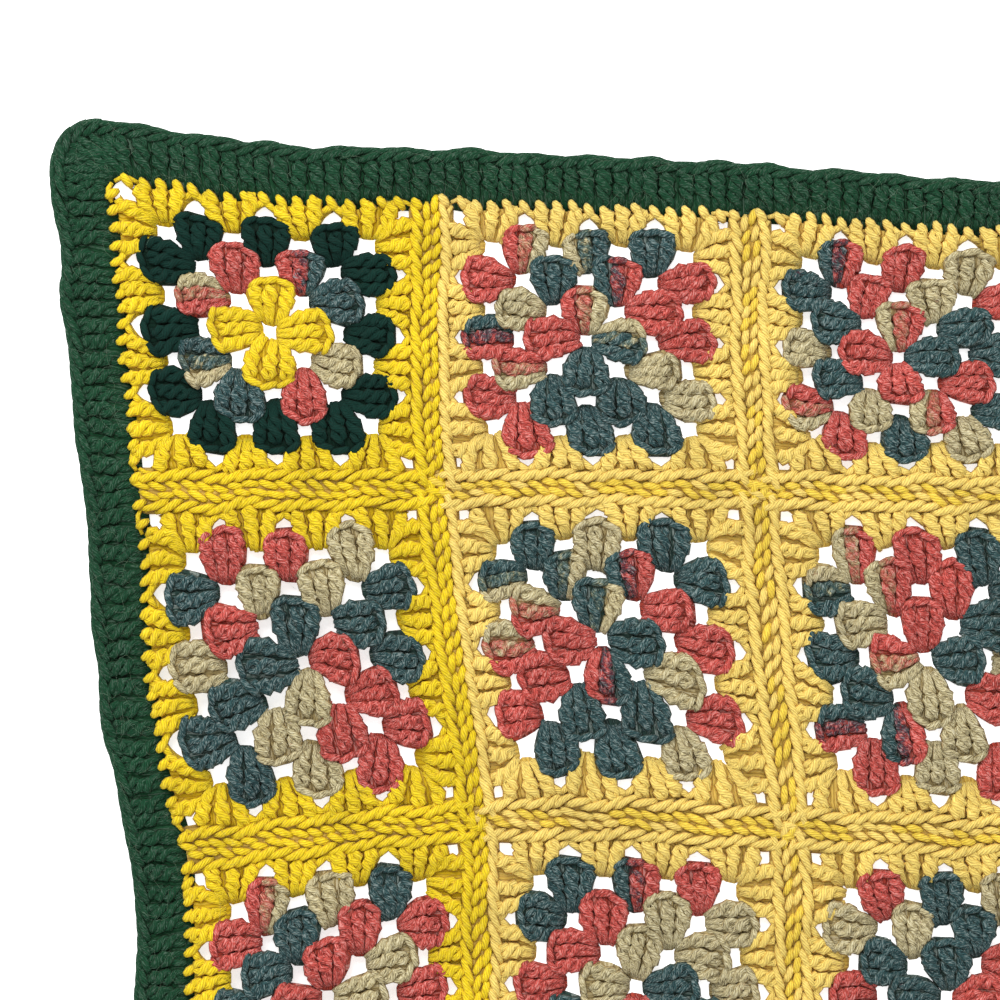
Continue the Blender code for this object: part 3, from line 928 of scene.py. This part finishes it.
# The border's ground reaches as far in as a strip does
GROUND_PER_SIDE = 48
GROUND_PER_CORNER = 5
GROUND_RADIUS = 3 * MM     # its inner corners' radius, and how far out they give way to a gap
GROUND_INSET = 1.5 * MM    # from the blanket's edge to its own


def add_cloth(pile, rings, ridges, shade, dye, slot, closed=False):
    """Adds rings of grid points as cloth with fine ridges on it.

    ridges is each point's place across the ridges, in metres."""
    strand = np.zeros(rings.shape)
    # The cloth's painted shade, which the yarn's shading turns into a darker colour
    strand[..., 0] = shade
    strand[..., 2] = ridges
    pile.add_rings(lay(rings), strand, dye, slot, closed)


def add_pads(pile, frames, half, sections, dye, slot):
    """A pad at each frame."""
    half = np.array(half)
    outline = np.concatenate([half * (-1, 1), half[::-1]])
    flat = (outline[:, :1] * MM * frames.forward[:, None]
            + outline[:, 1:] * MM * frames.outward[:, None])
    rings = np.empty((len(frames), len(sections), len(outline), 3))
    for number, (share, height) in enumerate(sections):
        rings[:, number, :, :2] = frames.place[:, None] + share * flat
        rings[:, number, :, 2] = height * MM * np.interp(outline[:, 1], *PAD_LIFT)
    across = np.clip(outline[:, 0] / PAD_DYE_REACH, -1, 1)
    dye = dye[:, 1:2] + across * (dye[:, 2:] - dye[:, :1]) / 2
    add_cloth(pile, rings, outline[:, 0] * MM, PAD_PAINTED_SHADE, dye[:, None], slot)


def band_rings(middle, half, section):
    """The rings of a low band of cloth along a middle line. half is the way to its edge."""
    share, height = np.array(section)[::-1].T
    rings = np.empty((1, len(middle), len(share), 3))
    rings[..., :2] = middle[:, None] + half[:, None] * share[:, None]
    rings[..., 2] = height * MM
    return rings


def lay_strip(pile, start, end, lift):
    """A low strip of cloth under a seam, from one grid place to another."""
    way = np.subtract(end, start)
    length = np.linalg.norm(way)
    left = np.array((-way[1], way[0])) / length
    line = np.linspace(start, end, STRIP_STEPS * round(length / SQUARE) + 1)
    rings = band_rings(line, np.tile(STRIP_HALF * left, (len(line), 1)), STRIP_RINGS)
    rings[..., 2] += lift
    add_cloth(pile, rings, rings[..., :2] @ left, STRIP_PAINTED_SHADE, 0, BUTTER)


def border_line(reach, radius, per_side, per_corner):
    """Places and outward directions round the blanket, clockwise from the top left corner."""
    places, outwards = [], []
    arcs = corner_arcs(reach, radius, (np.arange(per_corner) + 0.5) / per_corner)
    share = (np.arange(per_side) + 0.5) / per_side
    for number, (middle, ways) in enumerate(arcs):
        places += list(middle + radius * ways)
        outwards += list(ways)
        outward = np.array(SIDES[number], float)
        next_middle, _ = arcs[(number + 1) % 4]
        places += list(middle + radius * outward + (next_middle - middle) * share[:, None])
        outwards += [outward] * per_side
    return np.array(places), np.array(outwards)


def lay_border_ground(pile):
    """The border's ground, a closed band."""
    inner, outward = border_line(-STRIP_HALF, GROUND_RADIUS, GROUND_PER_SIDE, GROUND_PER_CORNER)
    at_corner = np.arange(len(inner)) % (GROUND_PER_CORNER + GROUND_PER_SIDE) < GROUND_PER_CORNER
    inner[at_corner] += GROUND_RADIUS * outward[at_corner]
    outer, _ = border_line(BORDER_REACH - GROUND_INSET, OUTER_RADIUS - GROUND_INSET,
                           GROUND_PER_SIDE, GROUND_PER_CORNER)
    rings = band_rings((inner + outer) / 2, (outer - inner) / 2, BORDER_RINGS)
    steps = np.linalg.norm(np.diff(outer, axis=0, prepend=outer[:1]), axis=-1)
    add_cloth(pile, rings, np.cumsum(steps)[:, None], BORDER_PAINTED_SHADE, 0, BOTTLE, closed=True)


def row_clusters(row, chart):
    """The clusters of the middle rounds and of the last round, for one row of squares.

    Each set is frames, a dye for each of a cluster's stitches, the yarn's number, 1 or -1 where
    the square's corner lies forward or back, and how much longer the posts are."""
    sets = []
    for rounds in (range(1, LAST_ROUND), (LAST_ROUND,)):
        place, outward, dye, slot, corner, growth = [], [], [], [], [], []
        for column in range(COLUMNS):
            for number in rounds:
                last = number == LAST_ROUND
                tokens = ["Y"] * 4 * number if last else chart[column, row][number - 1].split()
                for token, (at, side, step) in zip(tokens, cluster_places(number)):
                    place.append(square_middle(column, row) + at)
                    outward.append(side)
                    dye.append(dyes(token) if token[0] in DYE_PLACES else np.zeros(3))
                    slot.append(cluster_slot(token[0], column))
                    corner.append(np.sign(step) * (last and abs(step) == number - 1))
                    border = last and on_border(column, row, tuple(side.astype(int)))
                    growth.append(BORDER_GROWTH * border)
        sets.append((Frames(place, outward), *map(np.array, (dye, slot, corner, growth))))
    return sets


def on_border(column, row, side):
    """Whether a side of a square lies along the border."""
    return {(0, 1): row == 0, (1, 0): column == COLUMNS - 1,
            (0, -1): row == ROWS - 1, (-1, 0): column == 0}[side]


def cluster_slot(letter, column):
    """The yarn that a chart letter stands for."""
    if letter == "Y":
        return GOLDEN if wants_golden(column) else BUTTER
    return NIGHT if letter == "N" else DYED


class CROCHET_OT_ground(bpy.types.Operator):
    """Lays the cloth that the stitches' yarn stands on, with every gap open"""

    bl_idname = "crochet.ground"
    bl_label = "Lay Ground Cloth"

    def execute(self, context):
        pile = Pile()
        chart = charted_rounds()
        for row in range(ROWS):
            middle, last = row_clusters(row, chart)
            for (frames, dye, slot, *_), half, sections in (
                    (middle, HALF_PAD, PAD_RINGS), (last, HALF_LAST_PAD, LAST_PAD_RINGS)):
                add_pads(pile, frames, half, sections, dye, slot)
        for line in range(1, COLUMNS):
            across = line * SQUARE
            lay_strip(pile, (across, -STRIP_END), (across, STRIP_END - DEPTH), 0)
        for line in range(1, ROWS):
            up = -line * SQUARE
            lay_strip(pile, (STRIP_END, up), (WIDTH - STRIP_END, up), CROSSING_LIFT)
        lay_border_ground(pile)
        piece = pile.build("ground_cloth", yarns())
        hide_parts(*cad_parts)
        return {"FINISHED"}


class CROCHET_OT_middle_rounds(bpy.types.Operator):
    """Works the first three rounds of every square, one mesh for each row of squares"""

    bl_idname = "crochet.middle_rounds"
    bl_label = "Work Middle Rounds"

    def execute(self, context):
        chart = charted_rounds()
        for row in range(ROWS):
            pile = Pile()
            frames, dye, slot, *_ = row_clusters(row, chart)[0]
            frames = frames.loosened()
            add_cluster(pile, frames, MIDDLE_POST, dye, slot)
            for number, place in enumerate(TOP_LOOPS):
                placed = frames.at(*place)
                pile.add_strands(*placed.strands(TOP_LOOP), dye[:, number], slot)
            piece = pile.build(f"middle_rounds_row_{row + 1}", yarns())
        return {"FINISHED"}


# A square's edge, in millimetres: first how far outward of the square's middle its strands lie
TOOTH_OUT = 55.1
RIDGE_OUT = 54.9
APEX_OUT = 52.2
CORNER_OUT = 53.2
STITCH = ROUND_PITCH / 2 / MM            # from one stitch of a side to the next
SIDE_STITCHES = 9                        # each way from a side's middle, one less at the border
TOOTH_BACK = 0.7                         # how far back of its stitch a tooth lies
APEX_STITCHES = np.array((-4, 0, 4))     # those over a side's gaps
APEX_GROWTH = 0.8                        # of the posts' growth at the border
CORNER_FORWARD = 51.6                    # how far a corner's strands lie along the side


def side_frames(middle, side, forward, outward, lean=0.0):
    """Frames along a side: so far forward and outward of a middle in millimetres."""
    frames = Frames(np.tile(middle, (len(forward), 1)), np.tile(side, (len(forward), 1)))
    return frames.at(forward, outward, lean)


class CROCHET_OT_last_round(bpy.types.Operator):
    """Works the yellow last round of every square, with the loops that its edge shows"""

    bl_idname = "crochet.last_round"
    bl_label = "Work Last Round"

    def execute(self, context):
        chart = charted_rounds()
        for row in range(ROWS):
            pile = Pile()
            frames, dye, slot, corner, growth = row_clusters(row, chart)[1]
            add_cluster(pile, frames.loosened(), LAST_POST, dye, slot, corner, growth)
            for column in range(COLUMNS):
                self.work_edge(pile, column, row)
            piece = pile.build(f"last_round_row_{row + 1}", yarns())
            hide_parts(*(f"square_c{column + 1}_r{row + 1}" for column in range(COLUMNS)))
        return {"FINISHED"}

    def work_edge(self, pile, column, row):
        """The loops along a square's four sides: teeth at the border, ridges at the joins."""
        slot = GOLDEN if wants_golden(column) else BUTTER
        middle = square_middle(column, row)
        for number, side in enumerate(SIDES):
            before = on_border(column, row, SIDES[number - 1])
            after = on_border(column, row, SIDES[(number + 1) % 4])
            border = on_border(column, row, side)
            steps = np.arange(before - SIDE_STITCHES, SIDE_STITCHES + 1 - after) * STITCH
            if border:
                loops = side_frames(middle, side, steps - TOOTH_BACK, TOOTH_OUT).strands(TOOTH)
            else:
                loops = side_frames(middle, side, steps, RIDGE_OUT).strands(RIDGE_LOOP)
            pile.add_strands(*loops, 0, slot)
            growth = BORDER_GROWTH * border
            for facing in (-1, 1):
                for table, forward, outward in (
                        (APEX_STRAND, APEX_STITCHES * STITCH, APEX_OUT + APEX_GROWTH * growth),
                        (CORNER_STRAND, [facing * CORNER_FORWARD], CORNER_OUT + growth)):
                    turned = [(facing * ahead, *rest) for ahead, *rest in table]
                    frames = side_frames(middle, side, forward, outward)
                    pile.add_strands(*frames.strands(turned), 0, slot)


# The joins' stitches
SEAM_STITCHES = 10                       # each way from a seam's middle, one less at the border
JOIN_FORWARD = 1.5                       # along the seam from a stitch's place, in millimetres
JOIN_ASIDE = 1.7                         # from the seam's line, in millimetres
JOIN_LEAN = 7                            # the hand's standard deviation, in degrees
HONEY_SHARE = 0.6                        # past the first column


class CROCHET_OT_joins(bpy.types.Operator):
    """Joins the squares: two rows of stitches between every pair of ridges"""

    bl_idname = "crochet.joins"
    bl_label = "Join Squares"

    def execute(self, context):
        down_pile, across_pile = Pile(), Pile()
        for line in range(1, COLUMNS):
            for row in range(ROWS):
                ends = (row == 0, row == ROWS - 1)
                self.join(down_pile, (line * SQUARE, -(row + 0.5) * SQUARE), (1, 0), line - 1, ends)
        for line in range(1, ROWS):
            for column in range(COLUMNS):
                ends = (column == 0, column == COLUMNS - 1)
                self.join(across_pile, ((column + 0.5) * SQUARE, -line * SQUARE), (0, 1), column,
                          ends)
        for name, pile in (("joins_down", down_pile), ("joins_across", across_pile)):
            piece = pile.build(name, yarns())
        return {"FINISHED"}

    def join(self, pile, middle, side, column, ends):
        """The stitches of one seam between two squares. Past the first column some are honey.

        ends tells whether the seam runs into the border at its back and its forward end."""
        steps = np.arange(ends[0] - SEAM_STITCHES, SEAM_STITCHES - ends[1]) + 0.5
        for facing in (1, -1):
            slot = np.where(rng.random(len(steps)) < HONEY_SHARE, HONEY, BUTTER)
            slot = np.full(len(steps), GOLDEN) if wants_golden(column) else slot
            forward = facing * steps * STITCH + JOIN_FORWARD
            frames = side_frames(middle, np.multiply(facing, side), forward, -JOIN_ASIDE,
                                 rng.normal(0, JOIN_LEAN, len(steps)))
            pile.add_strands(*frames.strands(BAND_STITCH), 0, slot)


# The border round's stitches
BORDER_PER_SIDE = 94
BORDER_PER_CORNER = 6
# How far out its strands lie from the squares' edge, in millimetres
BORDER_POST_OUT = (-5.0, 3.6, 11.8)      # at a post's base, halfway and at its top
BORDER_LOOP_OUT = 12.8
RIM_OUT = 14.8
BORDER_ASIDE = 0.3                       # the hand's standard deviation, in millimetres


class CROCHET_OT_border(bpy.types.Operator):
    """Works the dark green round along all four sides, fanned out at the corners"""

    bl_idname = "crochet.border"
    bl_label = "Work Border Round"

    def execute(self, context):
        pile = Pile()
        turns = context.scene.crochet_stitches.post_turns
        knots = [self.round_line(reach).place for reach in BORDER_POST_OUT]
        knots = [knot + rng.normal(0, BORDER_ASIDE * MM, knot.shape) for knot in knots]
        pile.add_strands(*post_strands(knots, BORDER_POST, turns), 0, BOTTLE)
        pile.add_strands(*core_strands(knots), 0, BOTTLE)
        pile.add_strands(*self.round_line(BORDER_LOOP_OUT).strands(BORDER_LOOP), 0, BOTTLE)
        rim = self.round_line(RIM_OUT)
        pile.add_strands(*rim.strands(RIM_LOOP), 0, BOTTLE, ROUND_SECTION)
        piece = pile.build("border_round", yarns())
        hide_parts("border")
        return {"FINISHED"}

    def round_line(self, reach):
        """Frames all round, so far out in millimetres from the squares' edge."""
        radius = OUTER_RADIUS - BORDER_REACH + reach * MM
        return Frames(*border_line(reach * MM, radius, BORDER_PER_SIDE, BORDER_PER_CORNER))


# Loose fibres, in millimetres
EDGE_BAND = (-15, 3)       # how far inward of the squares' edge the border's fibres lie
BARE_END = 4               # without them, at the far end of a side
FIBRE_REACH = (1.5, 6.0)   # each way from a fibre's middle, the least and the most
FIBRE_BEND = 0.5           # the standard deviation from the middle to an end, in radians
FIBRE_LOW = 4.3            # height of the ends
FIBRE_RISE = 1.6           # how far the middle rises over them
FIBRE_RADII = (0.02, 0.035, 0.035, 0.035, 0.02)


class CROCHET_OT_fuzz(bpy.types.Operator):
    """Lets loose fibres stand off the yarn, most of them off the border"""

    bl_idname = "crochet.fuzz"
    bl_label = "Add Loose Fibres"

    def execute(self, context):
        stitches = context.scene.crochet_stitches
        pile = Pile()
        count = stitches.border_fibres
        edge = rng.integers(0, 4, count)
        along = rng.uniform(-BORDER_REACH, WIDTH + BORDER_REACH - BARE_END * MM, count)
        inward = rng.uniform(*EDGE_BAND, count) * MM
        across = np.choose(edge, (along, WIDTH - inward, along, inward))
        down = np.choose(edge, (inward, along, DEPTH - inward, along))
        self.add_fibres(pile, across, -down)
        count = stitches.square_fibres
        self.add_fibres(pile, rng.uniform(0, WIDTH, count), -rng.uniform(0, DEPTH, count))
        fluff = yarn_material("loose_fibre", "loose_fibre", groove=0.4, fleck=0.2, sheen=0.05,
                              bump=0.2)
        piece = pile.build("loose_fibres", [fluff])
        return {"FINISHED"}

    def add_fibres(self, pile, x, y):
        """Thin curved fibres at grid places."""
        count = len(x)
        reach = rng.uniform(*FIBRE_REACH, count)[:, None] * MM
        heading = rng.uniform(0, math.tau, count)[:, None]
        bend = rng.normal(0, FIBRE_BEND, count)[:, None]
        t = np.linspace(-1, 1, len(FIBRE_RADII))
        turned = heading + bend * t
        paths = np.empty((count, len(t), 3))
        paths[..., 0] = x[:, None] + reach * t * np.cos(turned)
        paths[..., 1] = y[:, None] + reach * t * np.sin(turned)
        paths[..., 2] = (FIBRE_LOW + FIBRE_RISE * (1 - t * t)) * MM
        radii = np.tile(FIBRE_RADII, (count, 1)) * MM
        pile.add_strands(paths, radii, 0, 0, FIBRE_SECTION)


class CROCHET_OT_declare(bpy.types.Operator):
    """Takes no step: it leaves the pieces as they are"""

    bl_idname = "crochet.declare"
    bl_label = "Declare Cloth"

    def execute(self, context):
        return {"FINISHED"}


WHITE = (1, 1, 1, 1)
FLOOR_HALF = 10.0          # half the floor's side, in metres
FLOOR_GLOW = 0.65          # keeps the floor pale in the blanket's shade
# The soft light: side and place in metres, and turn
KEY_SIZE = 0.9
KEY_PLACE = (-0.45, 1.15, 1.15)
KEY_TURN = (math.radians(-42), math.radians(-14), 0)
SENSOR = 36                # width in millimetres


class CROCHET_OT_stage(bpy.types.Operator):
    """Sets the pale floor, the soft lights and the camera"""

    bl_idname = "crochet.stage"
    bl_label = "Set Stage"

    def execute(self, context):
        stage = context.scene.crochet_stage
        floor_mesh = bpy.data.meshes.new("floor")
        corners = [(x * FLOOR_HALF, y * FLOOR_HALF, 0) for x, y in CORNERS[::-1]]
        floor_mesh.from_pydata(corners, [], [(0, 1, 2, 3)])
        floor = bpy.data.objects.new("floor", floor_mesh)
        context.scene.collection.objects.link(floor)
        paint = bpy.data.materials.new("floor")
        paint.use_nodes = True
        shader = paint.node_tree.nodes["Principled BSDF"]
        shader.inputs["Base Color"].default_value = (*stage.floor_colour, 1)
        shader.inputs["Roughness"].default_value = 0.9
        shader.inputs["Emission Color"].default_value = WHITE
        shader.inputs["Emission Strength"].default_value = FLOOR_GLOW
        floor_mesh.materials.append(paint)

        world = bpy.data.worlds.new("studio")
        world.use_nodes = True
        light = world.node_tree.nodes["Background"]
        light.inputs["Color"].default_value = WHITE
        light.inputs["Strength"].default_value = stage.sky
        context.scene.world = world
        lamp = bpy.data.lights.new("key", "AREA")
        lamp.shape = "SQUARE"
        lamp.size = KEY_SIZE
        lamp.energy = stage.key
        key = bpy.data.objects.new("key", lamp)
        key.location = KEY_PLACE
        key.rotation_euler = KEY_TURN
        context.scene.collection.objects.link(key)

        lens = bpy.data.cameras.new("camera")
        lens.sensor_width = SENSOR
        lens.lens = lens.sensor_width * stage.camera_place[2] / stage.field
        camera = bpy.data.objects.new("camera", lens)
        camera.location = stage.camera_place
        camera.rotation_euler = (0, 0, stage.roll)
        context.scene.collection.objects.link(camera)
        context.scene.camera = camera
        context.scene.view_settings.view_transform = "Standard"
        return {"FINISHED"}


# ---------------------------------------------------------------- add-on

STEPS = ("ground", "middle_rounds", "last_round", "joins", "border", "fuzz", "declare", "stage")


class CROCHET_PT_panel(bpy.types.Panel):
    """Lists the steps in order."""

    bl_idname = "CROCHET_PT_panel"
    bl_label = "Granny Square Blanket"
    bl_space_type = "VIEW_3D"
    bl_region_type = "UI"
    bl_category = "Crochet"

    def draw(self, context):
        for name in GROUPS:
            group = getattr(context.scene, name)
            box = self.layout.box()
            for prop in group.__annotations__:
                box.prop(group, prop)
        for step in STEPS:
            self.layout.operator(f"crochet.{step}")


GROUPS = {"crochet_yarn": CrochetYarn, "crochet_stitches": CrochetStitches,
          "crochet_stage": CrochetStage}
CLASSES = (*GROUPS.values(), CROCHET_OT_ground, CROCHET_OT_middle_rounds, CROCHET_OT_last_round,
           CROCHET_OT_joins, CROCHET_OT_border, CROCHET_OT_fuzz, CROCHET_OT_declare,
           CROCHET_OT_stage, CROCHET_PT_panel)


def register():
    """Registers every class, and puts the sizes on the scene."""
    for made in CLASSES:
        bpy.utils.register_class(made)
    for name, group in GROUPS.items():
        setattr(bpy.types.Scene, name, bpy.props.PointerProperty(type=group))


def unregister():
    """Takes back what register did."""
    for name in GROUPS:
        delattr(bpy.types.Scene, name)
    for made in reversed(CLASSES):
        bpy.utils.unregister_class(made)


def main():
    """Makes the blanket and its stage."""
    register()
    for step in STEPS:
        getattr(bpy.ops.crochet, step)()


if __name__ == "__main__":
    main()
